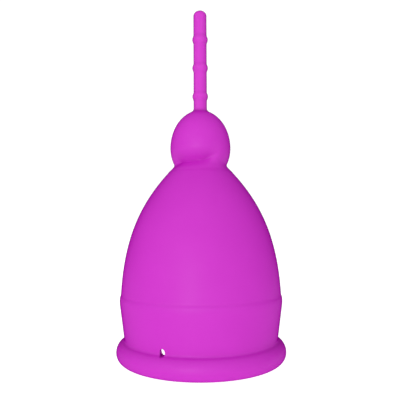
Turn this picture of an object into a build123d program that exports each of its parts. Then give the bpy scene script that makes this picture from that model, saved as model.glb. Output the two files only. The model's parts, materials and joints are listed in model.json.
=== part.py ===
"""A one-piece silicone menstrual cup, standing on its open rim with the stem upwards.

The real cup is a single moulding.  It is divided here at the lines the moulding itself shows
(the crease over the rim, the ridge round the body, the waist under the bulb, the rings on the
stem), and where it bends in use: at the waist, at the root of the stem and between the rings.
At each bend one piece ends in a ball and the next in a socket, both centred on the bend.

Millimetres, +Z up.  The origin is the centre of the mouth, on the surface the rim rests on.
"""
import math
import os

from build123d import *

# Rim: the rolled bead round the mouth
RIM_RADIUS = 22.0
BEAD_HALF_THICKNESS = 2.4
BEAD_WIDEST_HEIGHT = 2.45
BEAD_RISE = 2.88
REST_LAND_WIDTH = 1.0

# Sealing band: from the crease over the rim up to the ridge
CREASE_INSET = 2.1
CREASE_WALL = 2.1
RIDGE_HEIGHT = 15.45
RIDGE_PROUD = 0.25
RIDGE_ROUNDING = 0.2

# Air holes: oval, opposite each other, right over the rim
HOLE_COUNT = 2
HOLE_AZIMUTH = 246.4
HOLE_ABOVE_CREASE = 0.55
HOLE_WIDTH = 1.4
HOLE_LENGTH = 1.9

# Bowl: from the ridge to the waist
BOWL_FOOT_INSET = 1.03
BOWL_WALL = 2.0
BOWL_FOOT_LEAN = 2.05
SHOULDER_LEAN = 44.6
FOOT_HANDLE = 13.45
SHOULDER_HANDLE = 14.8

# Waist: where the bulb tilts on the bowl
WAIST_HEIGHT = 50.4
WAIST_RADIUS = 7.07
WAIST_BORE_RADIUS = 5.0
WAIST_SOCKET_WALL = 1.04
WAIST_BALL_DEPTH = 1.7
WAIST_TILT_LIMIT = 10.0
WAIST_TILT_SPARE = 2.0

# Bulb: the hollow egg that is pinched
BULB_CENTRE_ABOVE_WAIST = 5.05
BULB_RADIUS = 8.08
BULB_RISE = 10.35
BULB_DROP = 9.15
BULB_WALL = 2.1
BULB_CROWN_WALL = 2.6
BULB_FLOOR_WALL = 2.15
BULB_CROWN_CUT = 0.6

# Stem: a solid cord with three rings
STEM_RADIUS = 1.8
ROOT_FLARE_HEIGHT = 1.1
ROOT_BEND_ABOVE_BULB = 1.55
FIRST_RING_ABOVE_BEND = 2.95
RING_PITCH = 7.9
RING_NAMES = ("lower", "middle", "upper")
RING_PROUD = 0.32
RING_LENGTH = 1.9
RING_GROOVE = 0.6
TIP_ABOVE_LAST_RING = 8.1
STEM_BEND_LIMIT = 30.0
STEM_BEND_SPARE = 0.25

# Running clearance of a ball in its socket and of a ring on its core
FIT_CLEARANCE = 0.06

# Handle length, as a share of the radius, with which a cubic curve follows a quarter ellipse
QUARTER_HANDLE = 0.5523

BEAD_RADIUS = RIM_RADIUS - BEAD_HALF_THICKNESS
CREASE_RADIUS = RIM_RADIUS - CREASE_INSET
MOUTH_RADIUS = CREASE_RADIUS - CREASE_WALL
BOWL_FOOT_RADIUS = RIM_RADIUS - BOWL_FOOT_INSET
RIDGE_RADIUS = BOWL_FOOT_RADIUS + RIDGE_PROUD
BOWL_INNER_FOOT = BOWL_FOOT_RADIUS - BOWL_WALL

WAIST_BALL_RADIUS = WAIST_RADIUS - WAIST_SOCKET_WALL
BULB_CENTRE_HEIGHT = WAIST_HEIGHT + BULB_CENTRE_ABOVE_WAIST
BULB_TOP_HEIGHT = BULB_CENTRE_HEIGHT + BULB_RISE - BULB_CROWN_CUT

RING_RADIUS = STEM_RADIUS + RING_PROUD
RING_CORE_RADIUS = STEM_RADIUS - RING_GROOVE
ROOT_BEND_HEIGHT = BULB_TOP_HEIGHT + ROOT_BEND_ABOVE_BULB
FIRST_RING_HEIGHT = ROOT_BEND_HEIGHT + FIRST_RING_ABOVE_BEND
RING_HEIGHTS = [FIRST_RING_HEIGHT + number * RING_PITCH for number in range(len(RING_NAMES))]
BEND_HEIGHTS = [ROOT_BEND_HEIGHT] + [height + RING_PITCH / 2 for height in RING_HEIGHTS]
STEM_TOP_HEIGHT = RING_HEIGHTS[-1] + TIP_ABOVE_LAST_RING


def bead_angle(radius):
    """Angle round the bead's section, from its outermost point, where it reaches a radius."""
    return math.degrees(math.acos((radius - BEAD_RADIUS) / BEAD_HALF_THICKNESS))


def bead_top(radius):
    """Height of the bead's upper side at a radius."""
    return BEAD_WIDEST_HEIGHT + BEAD_RISE * math.sin(math.radians(bead_angle(radius)))


CREASE_HEIGHT = bead_top(CREASE_RADIUS)


def cut_air_holes():
    """Cut the oval air holes, from the axis outwards, through the piece being built."""
    for number in range(HOLE_COUNT):
        azimuth = math.radians(HOLE_AZIMUTH + number * 360 / HOLE_COUNT)
        across = (-math.sin(azimuth), math.cos(azimuth), 0)
        outwards = (math.cos(azimuth), math.sin(azimuth), 0)
        centre = (0, 0, CREASE_HEIGHT + HOLE_ABOVE_CREASE)
        with BuildSketch(Plane(origin=centre, x_dir=across, z_dir=outwards)) as oval:
            Ellipse(HOLE_WIDTH / 2, HOLE_LENGTH / 2)
        extrude(oval.sketch, amount=RIM_RADIUS, mode=Mode.SUBTRACT)


def half_egg(radius, rise, drop):
    """Draw half the bulb's egg against the axis: a quarter ellipse each way from its widest circle."""
    widest = (radius, BULB_CENTRE_HEIGHT)
    top = BULB_CENTRE_HEIGHT + rise
    bottom = BULB_CENTRE_HEIGHT - drop
    for pole in (top, bottom):
        side_handle = (radius, BULB_CENTRE_HEIGHT + QUARTER_HANDLE * (pole - BULB_CENTRE_HEIGHT))
        pole_handle = (QUARTER_HANDLE * radius, pole)
        Bezier(widest, side_handle, pole_handle, (0, pole))
    Line((0, top), (0, bottom))


def block(inner, bottom, outer, top, mode=Mode.SUBTRACT):
    """A rectangle in the section, given by its inner and outer radius and its two heights."""
    with Locations(((inner + outer) / 2, (bottom + top) / 2)):
        Rectangle(outer - inner, top - bottom, mode=mode)


def keep(piece, label):
    """Name a finished piece and put it with the others."""
    piece.part.label = label
    pieces.append(piece.part)


pieces = []

# Rim: a full bead, with a flat land underneath to rest on and a flat top for the band.
rest_angle = bead_angle(BEAD_RADIUS + REST_LAND_WIDTH / 2)
bead_drop = BEAD_WIDEST_HEIGHT / math.sin(math.radians(rest_angle))
bead_centre = (BEAD_RADIUS, BEAD_WIDEST_HEIGHT)
crease_angle = bead_angle(CREASE_RADIUS)
mouth_angle = bead_angle(MOUTH_RADIUS)

with BuildPart() as rim:
    with BuildSketch(Plane.XZ):
        with BuildLine():
            outer_under = EllipticalCenterArc(
                bead_centre, BEAD_HALF_THICKNESS, bead_drop, start_angle=-rest_angle, arc_size=rest_angle
            )
            outer_top = EllipticalCenterArc(
                bead_centre, BEAD_HALF_THICKNESS, BEAD_RISE, start_angle=0, arc_size=crease_angle
            )
            inner_top = EllipticalCenterArc(
                bead_centre,
                BEAD_HALF_THICKNESS,
                BEAD_RISE,
                start_angle=mouth_angle,
                arc_size=180 - mouth_angle,
            )
            inner_under = EllipticalCenterArc(
                bead_centre, BEAD_HALF_THICKNESS, bead_drop, start_angle=180, arc_size=rest_angle
            )
            Polyline(outer_top @ 1, (MOUTH_RADIUS, CREASE_HEIGHT), inner_top @ 0)
            Line(inner_under @ 1, outer_under @ 0)
        make_face()
    revolve(axis=Axis.Z)
    cut_air_holes()
keep(rim, "rim")

# Sealing band: a slightly conical wall whose top edge stands proud of the bowl as a ridge.
with BuildPart() as sealing_band:
    with BuildSketch(Plane.XZ):
        with BuildLine():
            Polyline(
                (MOUTH_RADIUS, CREASE_HEIGHT),
                (CREASE_RADIUS, CREASE_HEIGHT),
                (RIDGE_RADIUS, RIDGE_HEIGHT),
                (BOWL_INNER_FOOT, RIDGE_HEIGHT),
                close=True,
            )
        make_face()
    revolve(axis=Axis.Z)
    ridge_edge = sealing_band.edges().filter_by(GeomType.CIRCLE).sort_by(SortBy.RADIUS)[-1]
    fillet(ridge_edge, RIDGE_ROUNDING)
    cut_air_holes()
keep(sealing_band, "sealing_band")

# Bowl: one curve outside and one inside, each given by the lean of its two ends.  The top is
# cut as a socket, so that the bulb's lower end can turn in it about the centre of the waist.
foot_lean = math.radians(BOWL_FOOT_LEAN)
shoulder_lean = math.radians(SHOULDER_LEAN)
waist_centre = (0, WAIST_HEIGHT)


def bowl_curve(foot_radius, shoulder_radius, shoulder_height):
    """A bowl profile from the ridge up to the shoulder, leaving both ends at their leans."""
    foot_handle = (
        foot_radius - FOOT_HANDLE * math.sin(foot_lean),
        RIDGE_HEIGHT + FOOT_HANDLE * math.cos(foot_lean),
    )
    shoulder_handle = (
        shoulder_radius + SHOULDER_HANDLE * math.sin(shoulder_lean),
        shoulder_height - SHOULDER_HANDLE * math.cos(shoulder_lean),
    )
    return Bezier(
        (foot_radius, RIDGE_HEIGHT), foot_handle, shoulder_handle, (shoulder_radius, shoulder_height)
    )


with BuildPart() as bowl:
    with BuildSketch(Plane.XZ):
        with BuildLine():
            outside = bowl_curve(BOWL_FOOT_RADIUS, WAIST_RADIUS, WAIST_HEIGHT)
            inside = bowl_curve(
                BOWL_INNER_FOOT,
                WAIST_RADIUS - BOWL_WALL * math.cos(shoulder_lean),
                WAIST_HEIGHT - BOWL_WALL * math.sin(shoulder_lean),
            )
            Line(outside @ 0, inside @ 0)
            Polyline(inside @ 1, (WAIST_BORE_RADIUS, WAIST_HEIGHT), outside @ 1)
        make_face()
        with Locations(waist_centre):
            Circle(WAIST_BALL_RADIUS + FIT_CLEARANCE, mode=Mode.SUBTRACT)
    revolve(axis=Axis.Z)
keep(bowl, "bowl")

# Bulb: a hollow egg.  Its lower side rises as a cone from the centre of the waist, which leaves
# room to tilt over the shoulder, and its lower end is the ball that turns in the bowl's socket.
cone_slope = math.tan(math.radians(WAIST_TILT_LIMIT + WAIST_TILT_SPARE))
cone_reach = 2 * BULB_RADIUS
ball_end_height = WAIST_HEIGHT - WAIST_BALL_DEPTH

with BuildPart() as grip_bulb:
    with BuildSketch(Plane.XZ):
        with BuildLine():
            half_egg(BULB_RADIUS, BULB_RISE, BULB_DROP)
        make_face()
        with BuildLine():
            Polyline(
                waist_centre,
                (cone_reach, WAIST_HEIGHT + cone_reach * cone_slope),
                (cone_reach, 0),
                (0, 0),
                close=True,
            )
        make_face(mode=Mode.SUBTRACT)
        with Locations(waist_centre):
            Circle(WAIST_BALL_RADIUS)
        block(-cone_reach, 0, 0, STEM_TOP_HEIGHT)
        block(0, 0, cone_reach, ball_end_height)
        block(0, BULB_TOP_HEIGHT, cone_reach, STEM_TOP_HEIGHT)
        block(0, 0, WAIST_BORE_RADIUS, BULB_CENTRE_HEIGHT)
        with BuildLine():
            half_egg(
                BULB_RADIUS - BULB_WALL, BULB_RISE - BULB_CROWN_WALL, BULB_DROP - BULB_FLOOR_WALL
            )
        make_face(mode=Mode.SUBTRACT)
    revolve(axis=Axis.Z)
keep(grip_bulb, "grip_bulb")

# Root of the stem: a flare off the bulb's crown, ending in the ball of the first bend.
bulb_top_share = (BULB_TOP_HEIGHT - BULB_CENTRE_HEIGHT) / BULB_RISE
root_radius = BULB_RADIUS * math.sqrt(1 - bulb_top_share**2)
flare_width = root_radius - STEM_RADIUS

with BuildPart() as stem_root:
    with BuildSketch(Plane.XZ):
        with BuildLine():
            flare = EllipticalCenterArc(
                (root_radius, BULB_TOP_HEIGHT + ROOT_FLARE_HEIGHT),
                flare_width,
                ROOT_FLARE_HEIGHT,
                start_angle=180,
                arc_size=90,
            )
            ball = CenterArc((0, ROOT_BEND_HEIGHT), STEM_RADIUS, 0, 90)
            Line(flare @ 0, ball @ 0)
            Polyline(ball @ 1, (0, BULB_TOP_HEIGHT), flare @ 1)
        make_face()
    revolve(axis=Axis.Z)
keep(stem_root, "stem_root")

# Stem: links between the bends.  A link starts above its bend by what a full bend swings down,
# is hollowed there as a socket, has a waist under its ring, and ends in the next bend's ball.
socket_radius = STEM_RADIUS + FIT_CLEARANCE
socket_lift = STEM_RADIUS * math.tan(math.radians(STEM_BEND_LIMIT)) + STEM_BEND_SPARE


def stem_outline(start_height, ball_height):
    """Draw half a stem piece against the axis: straight, with a ball at its upper end."""
    ball = CenterArc((0, ball_height), STEM_RADIUS, 0, 90)
    Polyline(ball @ 1, (0, start_height), (STEM_RADIUS, start_height), ball @ 0)


def hollow_socket(bend_height):
    """Hollow the lower end of a stem piece round the ball that it bends on."""
    with Locations((0, bend_height)):
        Circle(socket_radius, mode=Mode.SUBTRACT)


for ring_name, ring_height, bend_height, next_bend in zip(
    RING_NAMES, RING_HEIGHTS, BEND_HEIGHTS, BEND_HEIGHTS[1:]
):
    ring_bottom = ring_height - RING_LENGTH / 2
    ring_top = ring_height + RING_LENGTH / 2

    with BuildPart() as stem_link:
        with BuildSketch(Plane.XZ):
            with BuildLine():
                stem_outline(bend_height + socket_lift, next_bend)
            make_face()
            hollow_socket(bend_height)
            block(RING_CORE_RADIUS, ring_bottom, STEM_RADIUS, ring_top)
        revolve(axis=Axis.Z)
    keep(stem_link, f"stem_link_{ring_name}")

    with BuildPart() as grip_ring:
        with BuildSketch(Plane.XZ):
            with BuildLine():
                crown = ThreePointArc(
                    (STEM_RADIUS, ring_bottom), (RING_RADIUS, ring_height), (STEM_RADIUS, ring_top)
                )
                bore = RING_CORE_RADIUS + FIT_CLEARANCE
                Polyline(crown @ 1, (bore, ring_top), (bore, ring_bottom), crown @ 0)
            make_face()
        revolve(axis=Axis.Z)
    keep(grip_ring, f"grip_ring_{ring_name}")

# Tip: the last piece of the stem, with a round end.
with BuildPart() as stem_tip:
    with BuildSketch(Plane.XZ):
        with BuildLine():
            stem_outline(BEND_HEIGHTS[-1] + socket_lift, STEM_TOP_HEIGHT - STEM_RADIUS)
        make_face()
        hollow_socket(BEND_HEIGHTS[-1])
    revolve(axis=Axis.Z)
keep(stem_tip, "stem_tip")

os.makedirs("parts", exist_ok=True)
for piece in pieces:
    export_step(piece, f"parts/{piece.label}.step")
    box = piece.bounding_box()
    print(f"{piece.label:18s} {len(piece.solids())} solid, {piece.volume:9.2f} mm3, "
          f"z {box.min.Z:7.3f} to {box.max.Z:7.3f}, radius {box.max.X:6.3f}")
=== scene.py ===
# %% [markdown]
# # A menstrual cup, moulded in one piece from liquid silicone rubber
#
# The cup stands on its open rim with the stem upwards.  The CAD parts give every place and
# size: this script loads them as a fixed frame, and lays the finished surfaces over them.
# All lengths are metres.  `MM` turns a value in millimetres into metres.

import json
import math

import bpy
import numpy as np
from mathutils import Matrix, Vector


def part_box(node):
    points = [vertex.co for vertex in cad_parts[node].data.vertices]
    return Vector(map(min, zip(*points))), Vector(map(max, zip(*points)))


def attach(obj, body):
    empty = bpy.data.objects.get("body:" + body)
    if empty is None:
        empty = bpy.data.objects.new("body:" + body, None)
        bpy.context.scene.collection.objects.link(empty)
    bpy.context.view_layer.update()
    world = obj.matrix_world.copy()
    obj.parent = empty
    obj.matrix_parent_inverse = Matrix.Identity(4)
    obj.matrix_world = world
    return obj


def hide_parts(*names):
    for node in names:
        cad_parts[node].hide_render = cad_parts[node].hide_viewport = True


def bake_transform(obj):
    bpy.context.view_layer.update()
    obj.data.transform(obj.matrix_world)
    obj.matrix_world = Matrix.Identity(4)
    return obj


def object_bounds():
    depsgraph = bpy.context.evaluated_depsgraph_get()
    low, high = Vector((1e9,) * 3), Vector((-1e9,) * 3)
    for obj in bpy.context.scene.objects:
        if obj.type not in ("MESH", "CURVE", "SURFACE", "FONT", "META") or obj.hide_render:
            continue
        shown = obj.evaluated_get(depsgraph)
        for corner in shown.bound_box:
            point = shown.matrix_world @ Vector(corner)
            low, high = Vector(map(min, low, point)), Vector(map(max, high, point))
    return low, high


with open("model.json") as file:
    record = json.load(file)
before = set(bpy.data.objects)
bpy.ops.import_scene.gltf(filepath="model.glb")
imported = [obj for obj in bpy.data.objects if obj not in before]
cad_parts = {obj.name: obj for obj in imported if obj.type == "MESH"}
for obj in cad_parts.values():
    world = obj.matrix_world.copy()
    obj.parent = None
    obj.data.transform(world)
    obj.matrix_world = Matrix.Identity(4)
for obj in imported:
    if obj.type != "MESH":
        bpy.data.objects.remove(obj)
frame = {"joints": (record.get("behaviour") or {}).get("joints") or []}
cad_low, cad_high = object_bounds()
MM = 0.001


def low(node):
    """Height of a CAD node's lowest point."""
    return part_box(node)[0].z


def top(node):
    """Height of a CAD node's highest point."""
    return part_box(node)[1].z


def radius(node):
    """Largest radius of a CAD node round the axis of the cup."""
    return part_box(node)[1].x


pivot_height = {joint["name"]: joint["pos_m"][2] for joint in frame["joints"]}
print("cup:", round(radius("rim") / MM * 2, 2), "mm wide,", round(cad_high.z / MM, 2), "mm tall")

# %% [markdown]
# ## Profiles
#
# Every part of the cup is round, so its shape is one line, the profile, turned about the axis.
# A profile could be drawn by hand as a spline, but each stretch of this one has a plain rule: the
# bead at the mouth is part of an ellipse, the wall over it is straight, and the bowl is a cubic
# curve that leaves both ends at a given lean.  So each stretch is worked out from its rule, the
# stretches are joined, and the corners between them are eased, as a mould's corners are.

# %% Stretches of a profile
FINE_STEP = 0.02 * MM
SAME_PLACE = 0.000001 * MM


def line(start, end):
    """Points along the straight line from start to end."""
    start, end = np.array(start, float), np.array(end, float)
    count = max(int(np.linalg.norm(end - start) / FINE_STEP), 2)
    return start + np.linspace(0, 1, count)[:, None] * (end - start)


def ellipse_arc(centre, across, rise, start, end):
    """Points of an ellipse: the centre plus (across * cos a, rise * sin a), a from start to end."""
    count = max(int(abs(end - start) * max(across, rise) / FINE_STEP), 2)
    angle = np.linspace(start, end, count)
    return np.stack([centre[0] + across * np.cos(angle), centre[1] + rise * np.sin(angle)], 1)


def cubic(first, handle_one, handle_two, last):
    """A cubic Bezier curve: the four points weighted by (1-t)^3, 3t(1-t)^2, 3t^2(1-t) and t^3."""
    span = math.dist(first, last)
    t = np.linspace(0, 1, int(span / FINE_STEP))[:, None]
    weights = (1 - t) ** 3, 3 * t * (1 - t) ** 2, 3 * t**2 * (1 - t), t**3
    return sum(w * np.array(p) for w, p in zip(weights, (first, handle_one, handle_two, last)))


def along(profile):
    """Distance along a profile, from its first point, at each of its points."""
    steps = np.linalg.norm(np.diff(profile, axis=0), axis=1)
    return np.concatenate([[0], np.cumsum(steps)])


def joined(*stretches):
    """One profile from stretches laid end to end, evenly spaced and with no point twice."""
    points = np.concatenate(stretches)
    keep = np.concatenate([[True], np.linalg.norm(np.diff(points, axis=0), axis=1) > SAME_PLACE])
    points = points[keep]
    distance = along(points)
    even = np.linspace(0, distance[-1], int(distance[-1] / FINE_STEP))
    return np.stack([np.interp(even, distance, points[:, k]) for k in (0, 1)], 1)


def eased(profile, corner, reach):
    """A profile with one corner rounded: within reach of it, the points go over to the parabola
    whose ends are the profile's own points at that distance and whose handle is the corner."""
    distance = along(profile)
    at = distance[np.argmin(np.linalg.norm(profile - np.array(corner), axis=1))]
    inside = np.abs(distance - at) < reach
    start, end = profile[inside][0], profile[inside][-1]
    t = np.linspace(0, 1, inside.sum())[:, None]
    rounded = profile.copy()
    rounded[inside] = (1 - t) ** 2 * start + 2 * t * (1 - t) * np.array(corner) + t**2 * end
    return rounded


# %% [markdown]
# ## The outside of the cup
#
# From the mouth upwards: a full bead that the finger can fold, a crease, a slightly conical band
# that seals, a soft ridge, the bowl, a waist, and a hollow egg that is pinched to take the cup
# out.  The bead's flat land is only 1 mm wide, and the ridge stands a quarter of a millimetre
# proud with a long rounded upper side.

# %% Sizes of the bead, the band and the bowl
rim_radius = radius("rim")
crease_height = top("rim")
ridge_radius = radius("sealing_band")
ridge_height = top("sealing_band")
foot_radius = radius("bowl")
waist_height = pivot_height["waist_tilt"]

BEAD_HALF_THICKNESS = 2.4 * MM
BEAD_WIDEST_HEIGHT = 2.45 * MM
BEAD_RISE = 2.88 * MM
REST_LAND_WIDTH = 1.0 * MM
CREASE_INSET = 2.1 * MM
CREASE_WALL = 2.1 * MM
RIDGE_SHOULDER = 1.3 * MM
BOWL_WALL = 2.0 * MM
WAIST_RADIUS = 7.07 * MM
WAIST_BORE = 5.0 * MM
FOOT_LEAN = math.radians(2.05)
SHOULDER_LEAN = math.radians(44.6)
FOOT_HANDLE = 13.45 * MM
SHOULDER_HANDLE = 14.8 * MM

bead_radius = rim_radius - BEAD_HALF_THICKNESS
bead_centre = (bead_radius, BEAD_WIDEST_HEIGHT)
crease_radius = rim_radius - CREASE_INSET
mouth_radius = crease_radius - CREASE_WALL
inner_foot = foot_radius - BOWL_WALL


def bowl_curve(foot, shoulder_radius, shoulder_height):
    """The bowl's profile: a cubic curve from the ridge to the shoulder, whose handles point along
    the lean of the wall at each end."""
    foot_handle = (
        foot - FOOT_HANDLE * math.sin(FOOT_LEAN),
        ridge_height + FOOT_HANDLE * math.cos(FOOT_LEAN),
    )
    shoulder_handle = (
        shoulder_radius + SHOULDER_HANDLE * math.sin(SHOULDER_LEAN),
        shoulder_height - SHOULDER_HANDLE * math.cos(SHOULDER_LEAN),
    )
    ends = (foot, ridge_height), (shoulder_radius, shoulder_height)
    return cubic(ends[0], foot_handle, shoulder_handle, ends[1])


def bead_angle(at_radius):
    """Angle round the bead's ellipse, from its widest point, where it reaches a radius."""
    return math.acos((at_radius - bead_radius) / BEAD_HALF_THICKNESS)


# %% [markdown]
# ## The waist and the soft fold
#
# The bulb's side is an ellipse, and the shoulder comes up to it on a straight slope.  Where the
# two meet the larger radius wins, blended over a short reach, which gives the waist its fillet.
# The bulb is hollow and soft, and it has sagged a little on its front: a crease runs level just
# over the waist from the left, climbs the bulb to the right, and fades out.  Under the crease the
# skin swells a little, so the waist's fillet is wider there.  The fold could be sculpted, or
# pushed in by a displacement texture.  Here it is a dent that is subtracted from the radius, so it
# stays a smooth rule of height and azimuth, and it is real shape from every side.

# %% Radius of the bulb's side
bulb_radius = radius("grip_bulb")
BULB_CENTRE = waist_height + 5.05 * MM
BULB_RISE = 10.35 * MM
BULB_DROP = 9.15 * MM
NECK_RADIUS = 6.86 * MM
NECK_SPREAD = 0.16
WAIST_BLEND = 0.75 * MM
FRONT_BLEND = 1.5 * MM
FRONT_ENDS = np.radians([35, 75])
FOLD_BLEND = 0.22 * MM
FOLD_LIFT = 4.0 * MM
FOLD_DEPTH = 1.4 * MM
FOLD_LOW = waist_height + 0.9 * MM
FOLD_UNDERSIDE = 3.6 * MM
FOLD_LIP = 2.1 * MM
FOLD_SHARPNESS = 0.08
FOLD_STARTS = np.radians([-86, -50])
FOLD_ENDS = np.radians([12, 42])
FOLD_RISES = np.radians([-20, 44])
FRONT = math.radians(-87.4)


def smooth_step(value, start, end):
    """0 before start, 1 after end, and 3t^2 - 2t^3 between them, t being the share of the way."""
    t = np.clip((value - start) / (end - start), 0, 1)
    return t * t * (3 - 2 * t)


def smooth_larger(one, other, reach):
    """The larger of two values, with their crossing rounded: where they differ by less than
    reach, a quarter of reach times the squared share of the reach that is left is added."""
    near = np.clip(1 - np.abs(one - other) / reach, 0, 1)
    return np.maximum(one, other) + near**2 * reach / 4


def from_front(azimuth):
    """An azimuth counted from the front of the cup, between minus and plus half a turn."""
    return (azimuth - FRONT + np.pi) % (2 * np.pi) - np.pi


def egg_radius(height):
    """Radius of the bulb's egg at a height: an ellipse with its own rise and its own drop."""
    share = (height - BULB_CENTRE) / np.where(height > BULB_CENTRE, BULB_RISE, BULB_DROP)
    return bulb_radius * np.sqrt(np.clip(1 - share**2, 0, 1))


def fold_climb(turned):
    """How far the fold's line has climbed: it runs level, then up a quarter of an ellipse."""
    share = np.clip((turned - FOLD_RISES[0]) / (FOLD_RISES[1] - FOLD_RISES[0]), 0, 1)
    return FOLD_LIFT * (1 - np.sqrt(1 - share**2))


def fold_dent(height, turned):
    """Depth of the fold's crease.  It is deepest on a line that climbs to one side.  Away from the
    line it is the full depth times the squared share that is left: of the long underside above
    the line, or of the short lip below it."""
    crease = FOLD_LOW + fold_climb(turned)
    above = (height - crease) / FOLD_UNDERSIDE
    below = (crease - height) / FOLD_LIP
    away = np.clip(smooth_larger(above, below, FOLD_SHARPNESS), 0, 1)
    there = smooth_step(turned, *FOLD_STARTS) * (1 - smooth_step(turned, *FOLD_ENDS))
    return FOLD_DEPTH * there * (1 - away) ** 2


def side_radius(height, azimuth):
    """Radius of the shoulder, the waist and the bulb's side: the largest of the shoulder's slope,
    the neck's steep cone and the egg, blended further at the front, less the fold's crease."""
    turned = from_front(azimuth)
    shoulder = WAIST_RADIUS - (height - waist_height) * math.tan(SHOULDER_LEAN)
    neck = (NECK_RADIUS + (height - waist_height) * NECK_SPREAD) * (height < BULB_CENTRE)
    egg = egg_radius(height)
    blend = WAIST_BLEND + FRONT_BLEND * (1 - smooth_step(np.abs(turned), *FRONT_ENDS))
    whole = smooth_larger(shoulder, smooth_larger(neck, egg, FOLD_BLEND), blend)
    return whole - fold_dent(height, turned)


near_waist = waist_height + np.arange(-1, 2, 0.01) * MM
narrowest = side_radius(near_waist, np.full(len(near_waist), FRONT + np.pi)).min()
print("waist: narrowest radius", round(narrowest / MM, 2), "mm")

# %% [markdown]
# ## One profile from pole to pole
#
# The outside starts on the bulb's crown, under the stem, and runs down to the land under the
# bead.  The inside runs back up the wall, through the waist's bore and into the bulb's cavity.

# %% The outside and the inside
BULB_WALL = 2.1 * MM
CROWN_WALL = 2.6 * MM
FLOOR_WALL = 2.15 * MM
SIDE_START = waist_height - 1.6 * MM
CAVITY_ANGLE = math.asin(-0.55)
RIDGE_TOP_PROUD = 0.02 * MM
RIDGE_INSET = 0.3 * MM
RIDGE_DROP = 0.35 * MM
RIDGE_BULGE = 0.32 * MM
RIDGE_ARC_START = math.pi / 2 - 0.15
CREASE_EASE = 0.55 * MM
RIDGE_TOP_EASE = 0.35 * MM
RIDGE_FOOT_EASE = 0.5 * MM
MOUTH_LAND = 0.5 * MM
MOUTH_CORNER_DROP = 0.8 * MM
MOUTH_EASE = 0.6 * MM
BORE_EASE = 0.8 * MM
CAVITY_EASE = 0.6 * MM

crown = ellipse_arc((0, BULB_CENTRE), bulb_radius, BULB_RISE, math.pi / 2, 0)
side_heights = np.arange(BULB_CENTRE, SIDE_START, -FINE_STEP)
plain_side = side_radius(side_heights, np.full(len(side_heights), FRONT + np.pi))
side = np.stack([plain_side, side_heights], 1)
bowl_outside = bowl_curve(foot_radius, WAIST_RADIUS, waist_height)[::-1]
bowl_outside = bowl_outside[bowl_outside[:, 1] < SIDE_START]
ridge_top = (foot_radius + RIDGE_TOP_PROUD, ridge_height + RIDGE_SHOULDER)
bowl_outside = bowl_outside[bowl_outside[:, 1] > ridge_top[1]]
ridge = ellipse_arc(
    (ridge_radius - RIDGE_INSET, ridge_height - RIDGE_DROP),
    RIDGE_BULGE,
    RIDGE_SHOULDER + RIDGE_DROP,
    RIDGE_ARC_START,
    0,
)
rest_angle = bead_angle(bead_radius + REST_LAND_WIDTH / 2)
bead_drop = BEAD_WIDEST_HEIGHT / math.sin(rest_angle)

outside = joined(
    crown,
    side,
    bowl_outside,
    ridge,
    line(ridge[-1], (crease_radius, crease_height)),
    ellipse_arc(bead_centre, BEAD_HALF_THICKNESS, BEAD_RISE, bead_angle(crease_radius), 0),
    ellipse_arc(bead_centre, BEAD_HALF_THICKNESS, bead_drop, 0, -rest_angle),
    line((bead_radius + REST_LAND_WIDTH / 2, 0), (bead_radius, 0)),
)
outside = eased(outside, (crease_radius, crease_height), CREASE_EASE)
outside = eased(outside, ridge[0], RIDGE_TOP_EASE)
outside = eased(outside, ridge[-1], RIDGE_FOOT_EASE)

cavity_centre = (0, BULB_CENTRE)
cavity_radius = bulb_radius - BULB_WALL
cavity = ellipse_arc(cavity_centre, cavity_radius, BULB_DROP - FLOOR_WALL, CAVITY_ANGLE, 0)
bore_end = (WAIST_BORE, waist_height)
shoulder_inside = (
    WAIST_RADIUS - BOWL_WALL * math.cos(SHOULDER_LEAN),
    waist_height - BOWL_WALL * math.sin(SHOULDER_LEAN),
)
inside = joined(
    line((bead_radius, 0), (bead_radius - REST_LAND_WIDTH / 2, 0)),
    ellipse_arc(bead_centre, BEAD_HALF_THICKNESS, bead_drop, rest_angle - math.pi, -math.pi),
    ellipse_arc(bead_centre, BEAD_HALF_THICKNESS, BEAD_RISE, math.pi, bead_angle(mouth_radius)),
    line((mouth_radius, crease_height - MOUTH_LAND), (mouth_radius, crease_height)),
    line((mouth_radius, crease_height), (inner_foot, ridge_height)),
    bowl_curve(inner_foot, *shoulder_inside),
    line(shoulder_inside, bore_end),
    line(bore_end, cavity[0]),
    cavity,
    ellipse_arc(cavity_centre, cavity_radius, BULB_RISE - CROWN_WALL, 0, math.pi / 2),
)
inside = eased(inside, (mouth_radius, crease_height - MOUTH_CORNER_DROP), MOUTH_EASE)
inside = eased(inside, bore_end, BORE_EASE)
inside = eased(inside, cavity[0], CAVITY_EASE)
lengths = [round(along(profile)[-1] / MM, 1) for profile in (outside, inside)]
print("outside", lengths[0], "mm long, inside", lengths[1], "mm long")

# %% [markdown]
# ## Rows where the shape needs them
#
# A grid with even rows would be coarse on the bead and wasteful on the bowl.  So the rows crowd
# where the profile turns, and near the fold.  The two air holes need rows of their own, at the
# same heights on both walls, crowded towards the holes' tips.

# %% Choose the rows
LONGEST_STEP = 1.0 * MM
FOLD_STEP = 0.22 * MM
LARGEST_TURN = math.radians(7)
HOLE_HEIGHT = crease_height + 0.55 * MM
HOLE_HALF_LENGTH = 0.95 * MM
HOLE_HALF_WIDTH = 0.7 * MM
HOLE_ROWS = 24
HOLE_MARGIN = 0.1 * MM
CLOSEST_ROWS = 0.05 * MM
CAVITY_MARGIN = 0.2 * MM
SIDE_END = BULB_CENTRE + 8 * MM


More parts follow.
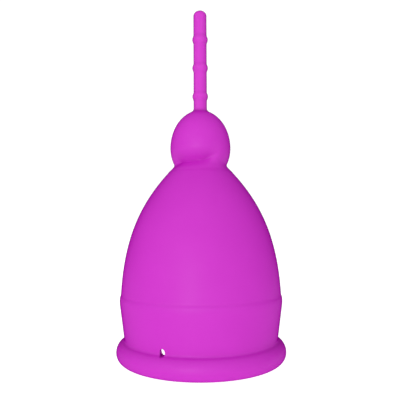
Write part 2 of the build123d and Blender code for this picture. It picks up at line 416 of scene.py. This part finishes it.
def rows(profile):
    """A profile's points at uneven distances: the count of rows that each stretch deserves is
    summed along it, one for each longest step and one for each largest turn, and shared out."""
    distance = along(profile)
    direction = np.unwrap(np.arctan2(*np.gradient(profile, axis=0).T))
    turning = np.abs(np.gradient(direction, distance))
    near_fold = (profile[:, 1] > SIDE_START) & (profile[:, 0] > cavity_radius + CAVITY_MARGIN)
    step = np.where(near_fold, FOLD_STEP, LONGEST_STEP)
    wanted = np.cumsum(np.maximum(1 / step, turning / LARGEST_TURN) * np.gradient(distance))
    count = int(wanted[-1] - wanted[0])
    at = np.interp(np.linspace(wanted[0], wanted[-1], count), wanted, distance)
    return np.stack([np.interp(at, distance, profile[:, k]) for k in (0, 1)], 1)


def at_heights(profile, heights):
    """A profile's points at given heights, on a stretch where the height only rises or falls."""
    order = np.argsort(profile[:, 1])
    return np.stack([np.interp(heights, profile[order, 1], profile[order, 0]), heights], 1)


def split_round_hole(profile, heights):
    """Rows of a profile before the hole, over it at the given heights, and after it."""
    lowest, highest = heights.min(), heights.max()
    near = (profile[:, 1] > lowest - HOLE_MARGIN) & (profile[:, 1] < highest + HOLE_MARGIN)
    first, last = np.flatnonzero(near)[[0, -1]]
    over = at_heights(profile[first:last], heights)
    before = profile[:first][np.abs(profile[:first, 1] - heights[0]) > CLOSEST_ROWS]
    after = profile[last:][np.abs(profile[last:, 1] - heights[-1]) > CLOSEST_ROWS]
    return rows(before), over, rows(after)


falling = HOLE_HEIGHT + HOLE_HALF_LENGTH * np.cos(np.linspace(0, np.pi, HOLE_ROWS + 1))
outer_rows = split_round_hole(outside, falling)
inner_rows = split_round_hole(inside, falling[::-1])
profile_rows = np.concatenate([*outer_rows, inner_rows[0][1:], *inner_rows[1:]])
outer_slit = len(outer_rows[0])
inner_slit = sum(len(part) for part in outer_rows) + len(inner_rows[0]) - 1
on_side = (profile_rows[:, 1] > SIDE_START) & (np.arange(len(profile_rows)) < outer_slit)
on_side &= profile_rows[:, 1] < SIDE_END
print(len(profile_rows), "rows,", on_side.sum(), "of them on the bulb's side")

# %% [markdown]
# ## The skin, and its air holes
#
# Turning the rows about the axis gives a grid of corners.  A hole could be cut by a Boolean, but
# that leaves ragged faces in a smooth wall.  Here the grid is opened instead, as a needle opens
# cloth: one column of corners is doubled over the hole's length, its two copies are pushed apart
# into an oval, and the columns beside them make room.  Rows keep their heights, so the crease
# still runs straight up to the hole.  The oval outside is then joined to the oval inside, which
# sits a little to one side, as the hole is punched straight back rather than towards the axis.

# %% Turn the profile and open the holes
COLUMNS = 288
COLUMN_CROWDING = 0.6
HOLE_AZIMUTH = math.radians(246.4)
HOLE_REACH = 3.0 * MM
HOLE_SLANT = math.radians(-2.5)
UNSLANTED_ROWS = 4
SMALLEST_RADIUS = 1 * MM


def column_azimuths():
    """Azimuths of the columns: even steps t, less a share of sin(2t)/2, which crowds them at both
    air holes and spreads them between."""
    even = np.arange(COLUMNS) * 2 * np.pi / COLUMNS
    return HOLE_AZIMUTH + even - COLUMN_CROWDING * np.sin(2 * even) / 2


def half_width(heights):
    """Half the width of an air hole at each height: the half width times the root of 1 - x^2,
    x being the height from its middle over its half length."""
    share = (heights - HOLE_HEIGHT) / HOLE_HALF_LENGTH
    return HOLE_HALF_WIDTH * np.sqrt(np.clip(1 - share**2, 0, 1))


def opened(azimuth, radii, heights, hole):
    """Azimuths with the grid pushed aside round a hole.  A corner at an arc's distance from the
    hole moves away by the half width there, times the squared share of the reach it has left."""
    away = (azimuth - hole + np.pi) % (2 * np.pi) - np.pi
    arc = np.abs(away) * radii
    left = np.clip(1 - arc / HOLE_REACH, 0, 1)
    push = half_width(heights) * left**2
    return azimuth + np.sign(away) * push / radii


def on_axis(radii, azimuth, heights):
    """Corners from a radius, an azimuth and a height."""
    return np.stack([radii * np.cos(azimuth), radii * np.sin(azimuth), heights], -1)


row_radii, row_heights = profile_rows[:, :1], profile_rows[:, 1:]
azimuth = np.broadcast_to(column_azimuths(), (len(profile_rows), COLUMNS)).copy()
radii = np.broadcast_to(row_radii, azimuth.shape).copy()
heights = np.broadcast_to(row_heights, azimuth.shape).copy()
radii[on_side] = side_radius(heights[on_side], azimuth[on_side])
hole_columns = (0, COLUMNS // 2)
for column in hole_columns:
    azimuth = opened(azimuth, np.maximum(radii, SMALLEST_RADIUS), heights, azimuth[0, column])
slant_start = outer_slit + HOLE_ROWS + UNSLANTED_ROWS
slant_end = inner_slit - UNSLANTED_ROWS
turned_in = smooth_step(np.arange(len(profile_rows)), slant_start, slant_end)
azimuth += HOLE_SLANT * turned_in[:, None]
corners = on_axis(radii, azimuth, heights)
print("grid", corners.shape)


# %% Name the corners
def grid_faces(index):
    """Four-sided faces between neighbouring entries of a grid of corner numbers."""
    a, b, c, d = index[:-1, :-1], index[:-1, 1:], index[1:, 1:], index[1:, :-1]
    return np.stack([a, d, c, b], -1).reshape(-1, 4)


count = corners[..., 0].size
index = np.arange(count).reshape(corners.shape[:2])
index[0], index[-1] = index[0, 0], index[-1, 0]
closed = np.concatenate([index, index[:, :1]], 1)
right_side, left_side = closed[:, :-1].copy(), closed[:, 1:].copy()
added, tunnels = [], []
slit = np.arange(1, HOLE_ROWS)
for column in hole_columns:
    walls = []
    for first in (outer_slit, inner_slit):
        hole = azimuth[first, column]
        open_rows = first + slit
        shift = half_width(heights[open_rows, 0]) / radii[open_rows, column]
        ring_radii, ring_heights = radii[open_rows, column], heights[open_rows, column]
        corners[open_rows, column] = on_axis(ring_radii, hole + shift, ring_heights)
        new = count + sum(len(part) for part in added) + np.arange(len(slit))
        added.append(on_axis(ring_radii, hole - shift, ring_heights))
        left_side[open_rows, column - 1] = new
        whole = index[first : first + HOLE_ROWS + 1, column]
        walls.append((whole, np.concatenate([whole[:1], new, whole[-1:]])))
    (outer_plus, outer_minus), (inner_plus, inner_minus) = walls
    tunnels.append(grid_faces(np.stack([inner_plus[::-1], outer_plus], 1)))
    tunnels.append(grid_faces(np.stack([outer_minus, inner_minus[::-1]], 1)))

a, b = right_side[:-1], left_side[:-1]
d, c = right_side[1:], left_side[1:]
skin_faces = np.concatenate([np.stack([a, d, c, b], -1).reshape(-1, 4), *tunnels])
skin_corners = np.concatenate([corners.reshape(-1, 3), *added])
print(len(skin_corners), "corners,", len(skin_faces), "faces")


# %% Make a mesh
SHARP_ANGLE = math.radians(50)
MERGE_STEP = 0.0001 * MM


def mesh_piece(name, points, faces):
    """A smooth-shaded object from arrays of corners and four-sided faces.  Corners that fall in
    one place are merged, faces that shrink to a line are left out, and edges over the sharp angle
    stay sharp."""
    places = np.round(points / MERGE_STEP).astype(np.int64)
    _, first, back = np.unique(places, axis=0, return_index=True, return_inverse=True)
    points, faces = points[first], back.reshape(-1)[faces]
    ring = np.sort(faces, 1)
    repeats = (ring[:, 1:] == ring[:, :-1]).sum(1)
    quads = faces[repeats == 0]
    thin = faces[repeats == 1]
    same = thin == np.roll(thin, -1, 1)
    usable = same.sum(1) == 1
    thin, same = thin[usable], same[usable]
    triangles = thin[~same].reshape(-1, 3)
    mesh = bpy.data.meshes.new(name)
    mesh.from_pydata(points.tolist(), [], quads.tolist() + triangles.tolist())
    mesh.validate()
    mesh.polygons.foreach_set("use_smooth", np.ones(len(mesh.polygons), bool))
    mesh.set_sharp_from_angle(angle=SHARP_ANGLE)
    piece = bpy.data.objects.new(name, mesh)
    bpy.context.scene.collection.objects.link(piece)
    mesh.calc_loop_triangles()
    print(name, len(mesh.vertices), "corners", len(mesh.loop_triangles), "triangles")
    return piece


skin = mesh_piece("cup_skin", skin_corners, skin_faces)

# %% [markdown]
# ## The stem
#
# The stem is a solid cord of silicone with three beads that stop it slipping between the
# fingers.  It bends, so it is made in spans, one over each bend, whose ends hide inside the beads.
# Each span is a profile turned about the axis, and its round end or its flare is part of it.

# %% Turned pieces
STEM_COLUMNS = 64
STEM_STEP = 0.16 * MM


def turned_piece(name, profile):
    """A closed piece from a profile that starts and ends on the axis, turned about it."""
    distance = along(profile)
    at = np.linspace(0, distance[-1], int(distance[-1] / STEM_STEP))
    line_points = np.stack([np.interp(at, distance, profile[:, k]) for k in (0, 1)], 1)
    around = np.arange(STEM_COLUMNS) * 2 * np.pi / STEM_COLUMNS
    heights = np.repeat(line_points[:, 1:], STEM_COLUMNS, 1)
    points = on_axis(line_points[:, :1], around[None, :], heights)
    numbers = np.arange(points[..., 0].size).reshape(points.shape[:2])
    numbers = np.concatenate([numbers, numbers[:, :1]], 1)
    return mesh_piece(name, points.reshape(-1, 3), grid_faces(numbers))


# %% Spans of the stem
stem_radius = radius("stem_tip")
stem_top = top("stem_tip")
RING_NAMES = ("lower", "middle", "upper")
ring_heights = [(low(f"grip_ring_{n}") + top(f"grip_ring_{n}")) / 2 for n in RING_NAMES]
ROOT_FLARE_WIDTH = 1.15 * MM
ROOT_FLARE_TOP = 1.2 * MM
ROOT_SINK = 0.8 * MM
ROOT_TUCK = 0.3 * MM

flare_radius = stem_radius + ROOT_FLARE_WIDTH
flare_foot = BULB_CENTRE + BULB_RISE * math.sqrt(1 - (flare_radius / bulb_radius) ** 2)
flare_slope = (BULB_RISE / bulb_radius) ** 2 * flare_radius / (flare_foot - BULB_CENTRE)
flare_corner = flare_foot + flare_slope * ROOT_FLARE_WIDTH
flare_top = top("grip_bulb") + ROOT_FLARE_TOP
flare = cubic(
    (stem_radius, flare_top),
    (stem_radius, (flare_top + 2 * flare_corner) / 3),
    (stem_radius + ROOT_FLARE_WIDTH / 3, flare_corner - flare_slope * ROOT_FLARE_WIDTH / 3),
    (flare_radius, flare_foot),
)
hidden_foot = flare_foot - ROOT_SINK
root_profile = joined(
    line((0, ring_heights[0]), (stem_radius, ring_heights[0])),
    line((stem_radius, ring_heights[0]), flare[0]),
    flare,
    line(flare[-1], (flare_radius - ROOT_TUCK, hidden_foot)),
    line((flare_radius - ROOT_TUCK, hidden_foot), (0, hidden_foot)),
)
spans = {"stem_span_root": turned_piece("stem_span_root", root_profile)}

for name, start, end in zip(RING_NAMES, ring_heights, ring_heights[1:]):
    span_profile = joined(
        line((0, end), (stem_radius, end)),
        line((stem_radius, end), (stem_radius, start)),
        line((stem_radius, start), (0, start)),
    )
    spans[f"stem_span_{name}"] = turned_piece(f"stem_span_{name}", span_profile)

TIP_DOME = 1.45 * MM
tip_profile = joined(
    ellipse_arc((0, stem_top - TIP_DOME), stem_radius, TIP_DOME, math.pi / 2, 0),
    line((stem_radius, stem_top - TIP_DOME), (stem_radius, ring_heights[-1])),
    line((stem_radius, ring_heights[-1]), (0, ring_heights[-1])),
)
spans["stem_span_upper"] = turned_piece("stem_span_upper", tip_profile)

# %% [markdown]
# ## The beads on the stem
#
# Each bead is a low round swelling, and the mould leaves a wide fillet where it meets the stem.
# A half circle would leave a sharp crease, so the section is a bell over the stem's surface.

# %% Make the three beads
BEAD_SINK = 0.01 * MM
BEAD_FILLET = 0.35 * MM
BEAD_FULLNESS = 0.85
BEAD_POINTS = 120


def bead_profile(centre, half_length, outer_radius):
    """The closed section of a bead: out over the bell cos(pi x / 2)^(2 fullness), x from 1 down
    to -1 over its half length and its fillet, and back inside the stem."""
    foot = stem_radius - BEAD_SINK
    x = np.linspace(1, -1, BEAD_POINTS)
    bulge = np.cos(np.pi * x / 2).clip(0, 1) ** (2 * BEAD_FULLNESS)
    reach = half_length + BEAD_FILLET
    crown_line = np.stack([foot + (outer_radius - foot) * bulge, centre + reach * x], 1)
    return joined(
        line((0, crown_line[0, 1]), crown_line[0]),
        crown_line,
        line(crown_line[-1], (0, crown_line[-1, 1])),
    )


beads = {}
for name, height in zip(RING_NAMES, ring_heights):
    half_length = (top(f"grip_ring_{name}") - low(f"grip_ring_{name}")) / 2
    profile = bead_profile(height, half_length, radius(f"grip_ring_{name}"))
    beads[name] = turned_piece(f"stem_bead_{name}", profile)

# %% [markdown]
# ## The silicone
#
# Liquid silicone rubber takes its colour from a pigment stirred in before moulding, so the colour
# runs all through it and is even, with a slight clouding.  The steel mould is spark-eroded, and
# its fine grain leaves the surface satin: the highlight is wide and soft, with no sharp image in
# it.  Light goes a little way in, which keeps the shadows full of colour.
#
# One shader can hold all this: a noise mixes two shades, a finer noise bumps the surface, and
# subsurface scattering lets the light in.  A tinted coat of index 1 paints shade at the edges: it
# reflects nothing, and only darkens and deepens the colour towards the edges, where the view
# grazes.


# %% Helpers for materials
def linear(hex_colour):
    """Linear colour from an sRGB hex value: v/12.92 below 0.04045, else ((v+0.055)/1.055)^2.4."""
    values = np.array([int(hex_colour[i : i + 2], 16) / 255 for i in (1, 3, 5)])
    values = np.where(values <= 0.04045, values / 12.92, ((values + 0.055) / 1.055) ** 2.4)
    return (*values, 1.0)


def node(tree, kind, settings=None, **inputs):
    """Add a node.  Settings are its properties, and each input is a value or a socket to link."""
    made = tree.nodes.new(kind)
    for key, value in (settings or {}).items():
        setattr(made, key, value)
    for key, value in inputs.items():
        wanted = int(key[1:]) if key[1:].isdigit() else key.replace("_", " ")
        socket = made.inputs[wanted]
        if isinstance(value, bpy.types.NodeSocket):
            tree.links.new(value, socket)
        else:
            socket.default_value = value
    return made


# %% Pigment
CLOUD_SIZE = 9 * MM
STREAK_WIDTH = 0.7 * MM
STREAK_LENGTH = 14 * MM
STREAK_RANGE = (0.45, 0.7)
STREAK_SHARE = 0.35
STREAK_COLOUR = "#EE6BE4"


def pigment(tree, place, colour, clouded, streaks):
    """Colour of the silicone: two shades mixed by a soft noise.  Streaks are the faint lengthwise
    flow lines of the thin stem, where the silicone is pushed a long way up a narrow bore."""
    cloud = node(tree, "ShaderNodeTexNoise", Vector=place, Scale=1 / CLOUD_SIZE, Detail=3.0)
    mix = node(
        tree,
        "ShaderNodeMix",
        {"data_type": "RGBA"},
        _0=cloud.outputs["Fac"],
        _6=linear(clouded),
        _7=linear(colour),
    )
    if not streaks:
        return mix.outputs[2]
    stretched = node(
        tree,
        "ShaderNodeMapping",
        Vector=place,
        Scale=(1 / STREAK_WIDTH, 1 / STREAK_WIDTH, 1 / STREAK_LENGTH),
    )
    flow = node(tree, "ShaderNodeTexNoise", Vector=stretched.outputs[0], Scale=1.0, Detail=2.0)
    share = node(
        tree,
        "ShaderNodeMapRange",
        _0=flow.outputs["Fac"],
        _1=STREAK_RANGE[0],
        _2=STREAK_RANGE[1],
        _3=0.0,
        _4=STREAK_SHARE,
    )
    streaked = node(
        tree,
        "ShaderNodeMix",
        {"data_type": "RGBA"},
        _0=share.outputs[0],
        _6=mix.outputs[2],
        _7=linear(STREAK_COLOUR),
    )
    return streaked.outputs[2]


# %% Moulded silicone
SILICONE_IOR = 1.41
SPECULAR_LEVEL = 0.5
MOULD_GRAIN = 0.35 * MM
GRAIN_DEPTH = 0.004 * MM
BUMP_STRENGTH = 0.5
HANDLED_SIZE = 4 * MM
HANDLED_CHANGE = 0.05
LIGHT_DEPTH = 0.6 * MM
LIGHT_SPREAD = (1.0, 0.25, 0.9)
LIGHT_SHARE = 0.2
# Green that the tinted coat lets through at the edges: painted edge shade.
EDGE_SHADE_GREEN = 0.68


def moulded_silicone(name, colour, clouded, roughness, edge_shade_tint, streaks):
    """Pigmented silicone rubber from a spark-eroded mould.  The grain is drawn coarser than the
    0.1 mm or so of a real mould, so that it shows.  The edge shade tint is how much red and blue
    the coat lets through at a grazing view: painted shade that darkens the colour at the edges."""
    material = bpy.data.materials.new(name)
    material.use_nodes = True
    tree = material.node_tree
    tree.nodes.clear()
    place = node(tree, "ShaderNodeTexCoord").outputs["Object"]
    surface_colour = pigment(tree, place, colour, clouded, streaks)
    grain = node(tree, "ShaderNodeTexNoise", Vector=place, Scale=1 / MOULD_GRAIN, Detail=2.0)
    bump = node(
        tree,
        "ShaderNodeBump",
        Strength=BUMP_STRENGTH,
        Distance=GRAIN_DEPTH,
        Height=grain.outputs["Fac"],
    )
    handled = node(tree, "ShaderNodeTexNoise", Vector=place, Scale=1 / HANDLED_SIZE, Detail=2.0)
    gloss = node(
        tree,
        "ShaderNodeMapRange",
        _0=handled.outputs["Fac"],
        _3=roughness - HANDLED_CHANGE,
        _4=roughness + HANDLED_CHANGE,
    )
    shader = node(
        tree,
        "ShaderNodeBsdfPrincipled",
        Base_Color=surface_colour,
        Roughness=gloss.outputs[0],
        IOR=SILICONE_IOR,
        Normal=bump.outputs[0],
    )
    shader.inputs["Subsurface Weight"].default_value = LIGHT_SHARE
    shader.inputs["Subsurface Radius"].default_value = LIGHT_SPREAD
    shader.inputs["Subsurface Scale"].default_value = LIGHT_DEPTH
    shader.inputs["Specular IOR Level"].default_value = SPECULAR_LEVEL
    # The tinted coat paints shade at the edges: it darkens and deepens the colour where the view
    # grazes.
    shader.inputs["Coat Weight"].default_value = 1.0
    shader.inputs["Coat IOR"].default_value = 1.0
    shader.inputs["Coat Tint"].default_value = (edge_shade_tint, EDGE_SHADE_GREEN, edge_shade_tint, 1.0)
    node(tree, "ShaderNodeOutputMaterial", Surface=shader.outputs[0])
    return material


# Each material's edge shade tint sets how much painted shade its edges get.
body_silicone = moulded_silicone(
    "satin_moulded_silicone",
    colour="#DC42D7",
    clouded="#D63CD1",
    roughness=0.45,
    edge_shade_tint=0.94,
    streaks=False,
)
stem_silicone = moulded_silicone(
    "stem_moulded_silicone",
    colour="#EA48E2",
    clouded="#E442DC",
    roughness=0.42,
    edge_shade_tint=0.87,
    streaks=True,
)
print("materials:", body_silicone.name, "and", stem_silicone.name)

# %% [markdown]
# ## Riding on the bodies
#
# The cup tilts at its waist and the stem bends between its beads, as the real silicone has no
# joints and flexes there.  Here the skin and the spans stay baked in place, and each bead rides on
# its stem body.

# %% Attach the beads, and bake the skin and the spans in place
STEM_FLEX = 2.7 * MM
ROOT_FLEX = 1.5 * MM


def flex(piece):
    """Bake a piece's place into its mesh.  The piece does not bend."""
    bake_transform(piece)


skin.data.materials.append(body_silicone)
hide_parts("rim", "sealing_band", "bowl", "grip_bulb")
flex(skin)

span_rules = {
    "stem_span_root": ("root_bend", ROOT_FLEX, "stem_root"),
    "stem_span_lower": ("lower_bend", STEM_FLEX, "stem_link_lower"),
    "stem_span_middle": ("middle_bend", STEM_FLEX, "stem_link_middle"),
    "stem_span_upper": ("upper_bend", STEM_FLEX, "stem_link_upper"),
}
for name, (joint_name, reach, replaced) in span_rules.items():
    spans[name].data.materials.append(stem_silicone)
    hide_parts(replaced)
    flex(spans[name])
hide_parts("stem_tip")

for name, bead in beads.items():
    bead.data.materials.append(stem_silicone)
    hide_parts(f"grip_ring_{name}")
    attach(bead, f"stem_{name}")

print("attached:", skin.name, *spans, *(bead.name for bead in beads.values()))

# %% [markdown]
# ## Floor, light and camera
#
# A product like this is shot on a white table, inside a white tent.  The tent is a plain sky,
# brighter in front of the cup and on its left, and two soft lamps shape the form: a wide one on
# the left and a small low one in front, which gives the line of light down the middle.
#
# White all round would wash the colour out at the edges, where silicone mirrors most.  So the
# tent and the table are pure white only to a ray that comes straight from the camera.  To the
# light that falls on the cup, the table is greyer and the tent has the strengths given here.


# %% Floor
FLOOR_HALF_WIDTH = 2.0
FLOOR_COLOUR = "#B4B4B4"
FLOOR_ROUGHNESS = 0.9
FLOOR_SPECULAR = 0.1
FLOOR_GLOW = 0.6
FLOOR_SEEN = 1.0


def pale_floor():
    """A flat square, 4 m wide, under the cup."""
    half = FLOOR_HALF_WIDTH
    square = np.array([(-half, -half, 0), (half, -half, 0), (half, half, 0), (-half, half, 0)])
    mesh = bpy.data.meshes.new("floor")
    mesh.from_pydata(square.tolist(), [], [(0, 1, 2, 3)])
    floor = bpy.data.objects.new("floor", mesh)
    bpy.context.scene.collection.objects.link(floor)
    material = bpy.data.materials.new("white_acrylic_table")
    material.use_nodes = True
    tree = material.node_tree
    shader = tree.nodes["Principled BSDF"]
    shader.inputs["Base Color"].default_value = linear(FLOOR_COLOUR)
    shader.inputs["Roughness"].default_value = FLOOR_ROUGHNESS
    shader.inputs["Specular IOR Level"].default_value = FLOOR_SPECULAR
    shader.inputs["Emission Color"].default_value = (1, 1, 1, 1)
    seen = node(tree, "ShaderNodeLightPath").outputs["Is Camera Ray"]
    glow = node(tree, "ShaderNodeMix", _0=seen, _2=FLOOR_GLOW, _3=FLOOR_SEEN).outputs[0]
    tree.links.new(glow, shader.inputs["Emission Strength"])
    mesh.materials.append(material)
    return floor


print("floor:", pale_floor().name)


# %% Lamps
def soft_lamp(name, place, aim, size, power):
    """A square area light at a place, turned to face a point."""
    data = bpy.data.lights.new(name, "AREA")
    data.shape, data.size, data.energy = "SQUARE", size, power
    lamp = bpy.data.objects.new(name, data)
    bpy.context.scene.collection.objects.link(lamp)
    away = np.array(place, float) - np.array(aim, float)
    flat = math.hypot(away[0], away[1])
    lamp.location = place
    lamp.rotation_euler = (math.atan2(flat, away[2]), 0, math.atan2(away[0], -away[1]))
    return lamp


# Each lamp's place, size and power: metres and watts.
LAMPS = {
    "left": ((-0.5, -0.6, 0.3), 0.4, 0.22),
    "low": ((-0.15, -0.7, 0.03), 0.14, 1.06),
}
middle = (0, 0, cad_high.z / 2)
for name, (place, size, power) in LAMPS.items():
    soft_lamp(name, place, middle, size, power)
print("lamps:", ", ".join(LAMPS))

# %% Sky
SKY_STRENGTH = {"left": 0.26, "right": 0.1, "front": 0.64, "behind": 0.0, "above": 0.1}
SKY_SEEN = 1.1

world = bpy.data.worlds.new("white_tent")
bpy.context.scene.world = world
world.use_nodes = True
sky = world.node_tree
sky.nodes.clear()
direction = node(sky, "ShaderNodeTexCoord").outputs["Generated"]
axes = node(sky, "ShaderNodeSeparateXYZ", Vector=direction)


def across_sky(axis, at_minus, at_plus):
    """Strength that goes smoothly from one side of the sky to the other, along an axis."""
    return node(
        sky,
        "ShaderNodeMapRange",
        {"interpolation_type": "SMOOTHSTEP"},
        _0=axes.outputs[axis],
        _1=-1.0,
        _2=1.0,
        _3=at_minus,
        _4=at_plus,
    ).outputs[0]


sideways = across_sky("X", SKY_STRENGTH["left"], SKY_STRENGTH["right"])
depth = across_sky("Y", SKY_STRENGTH["front"], SKY_STRENGTH["behind"])
upwards = across_sky("Z", 0.0, SKY_STRENGTH["above"])
part_sum = node(sky, "ShaderNodeMath", _0=sideways, _1=depth)
strength = node(sky, "ShaderNodeMath", _0=part_sum.outputs[0], _1=upwards)
seen = node(sky, "ShaderNodeLightPath").outputs["Is Camera Ray"]
final = node(sky, "ShaderNodeMix", _0=seen, _2=strength.outputs[0], _3=SKY_SEEN)
tent = node(sky, "ShaderNodeBackground", Color=(1, 1, 1, 1), Strength=final.outputs[0])
node(sky, "ShaderNodeOutputWorld", Surface=tent.outputs[0])
print("sky strengths:", SKY_STRENGTH)

# %% [markdown]
# ## The camera
#
# The camera stands close, level with the middle of the bowl, and looks slightly up.  From so near,
# the bowl and the bead look wider against the stem than they do from far away.  The camera is a
# little to the right of the front, so the air hole shows well to the left, and it is rolled by a
# fifth of a degree, which makes the cup lean as little.

# %% Place the camera
CAMERA_AZIMUTH = math.radians(2.6)
CAMERA_ASIDE = -0.2 * MM
CAMERA_DISTANCE = 126.4 * MM
CAMERA_HEIGHT = 33.46 * MM
CAMERA_PITCH = math.radians(3.674)
CAMERA_ROLL = math.radians(0.22)
CAMERA_LENS = 42.53
CAMERA_SENSOR = 36
NEAREST_SEEN = 1 * MM

camera_data = bpy.data.cameras.new("camera")
camera_data.lens = CAMERA_LENS
camera_data.sensor_width = CAMERA_SENSOR
camera_data.clip_start = NEAREST_SEEN
camera = bpy.data.objects.new("camera", camera_data)
across = np.array([math.cos(CAMERA_AZIMUTH), math.sin(CAMERA_AZIMUTH), 0])
backwards = np.array([math.sin(CAMERA_AZIMUTH), -math.cos(CAMERA_AZIMUTH), 0])
camera_place = across * CAMERA_ASIDE + backwards * CAMERA_DISTANCE + (0, 0, CAMERA_HEIGHT)
camera.location = camera_place
camera.rotation_euler = (math.pi / 2 + CAMERA_PITCH, CAMERA_ROLL, CAMERA_AZIMUTH)
bpy.context.scene.collection.objects.link(camera)
bpy.context.scene.camera = camera
bpy.context.scene.view_settings.view_transform = "Standard"
print("camera at", np.round(camera_place / MM, 1), "mm")

# %% [markdown]
# ## Light behind the air hole
#
# The real cup's wall lets some light through, so its inside is bright and the air hole shows as a
# pale spot.  In a render the wall lets almost none through, and the hole would be dark.  Making
# the whole wall glow would change its colour everywhere.  Instead, a small soft lamp stands inside
# the cup, behind the front air hole.  It is weak, so that it doesn't light the hole's own wall.

# %% Place the light behind the air hole
INSIDE_POWER = 0.003
INSIDE_RADIUS = 4 * MM
INSIDE_BEYOND = 0.13

hole_place = on_axis(crease_radius, HOLE_AZIMUTH, HOLE_HEIGHT)
inside_light = bpy.data.lights.new("inside", "POINT")
inside_light.energy = INSIDE_POWER
inside_light.shadow_soft_size = INSIDE_RADIUS
inside_lamp = bpy.data.objects.new("inside", inside_light)
inside_lamp.location = hole_place + (hole_place - camera_place) * INSIDE_BEYOND
bpy.context.scene.collection.objects.link(inside_lamp)
print("lamp behind the hole at", np.round(np.array(inside_lamp.location) / MM, 1), "mm")
